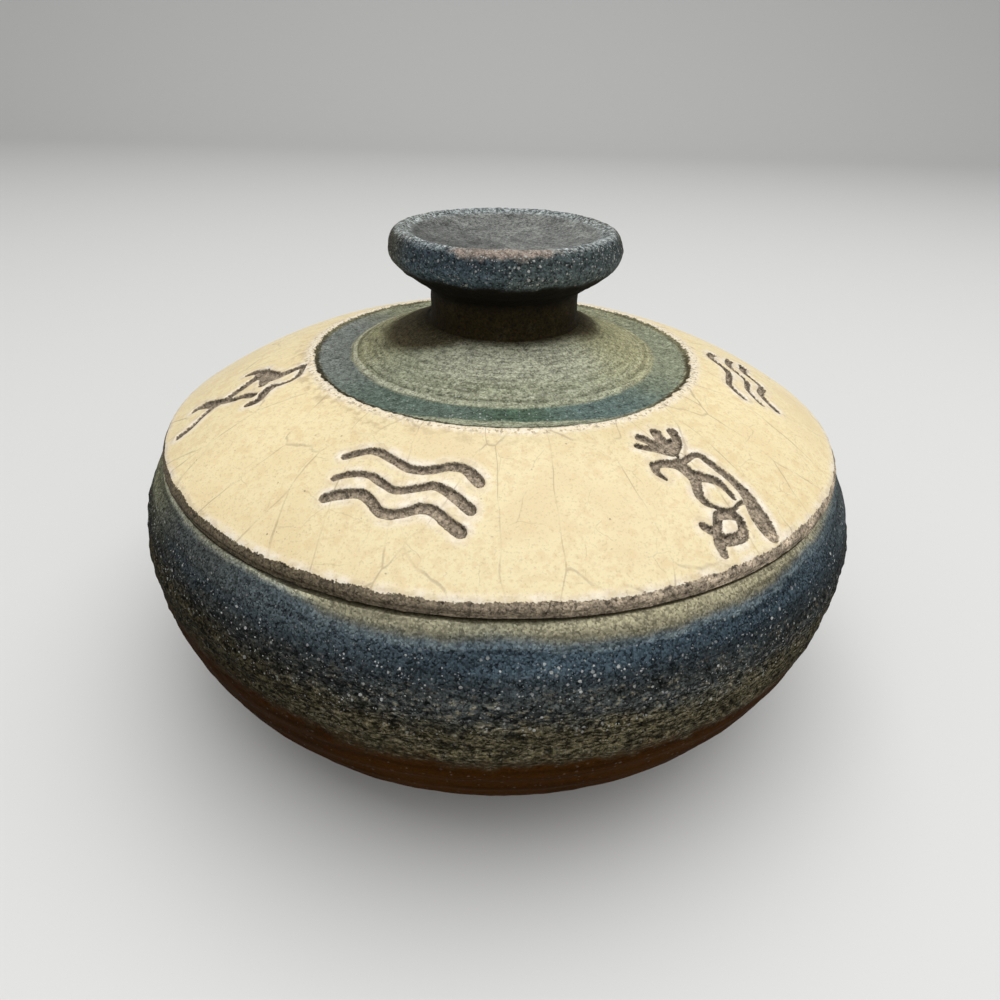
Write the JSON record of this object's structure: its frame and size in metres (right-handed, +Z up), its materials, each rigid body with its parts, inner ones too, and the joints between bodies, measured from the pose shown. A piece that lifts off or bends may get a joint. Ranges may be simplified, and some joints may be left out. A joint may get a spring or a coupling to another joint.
{
  "type": "lidded jar",
  "caption": "Squat wheel-thrown raku jar: a smoked clay bowl with a lift-off conical lid in ivory crackle glaze, carved with signs, under a dished pedestal knob.",
  "frame": {"origin": "middle of the foot ring, on the surface that the jar stands on", "axes": "+Z up along the axis that every piece was thrown about; -Y faces the viewer of the picture"},
  "size_m": [0.2, 0.2, 0.13],
  "materials": {
    "bowl_clay": "rough smoked raku clay with pale grog, gold-olive at the rim, steel blue on the shoulder and brown at the foot",
    "lid_glaze": "glossy ivory crackle glaze over carved bare clay, with a matte teal crown",
    "flange_clay": "bare smoked clay",
    "knob_glaze": "matte teal-grey copper glaze over grogged clay, with a coppery flash on the lip"
  },
  "bodies": {
    "bowl": {"bowl": "bowl_clay"},
    "lid": {"lid": "lid_glaze", "lid_flange": "flange_clay", "knob": "knob_glaze"}
  },
  "joints": [
    {"name": "lid_lift", "type": "slide", "parent": "bowl", "child": "lid", "axis": [0, 0, 1], "range_m": [0, 0.12]}
  ]
}
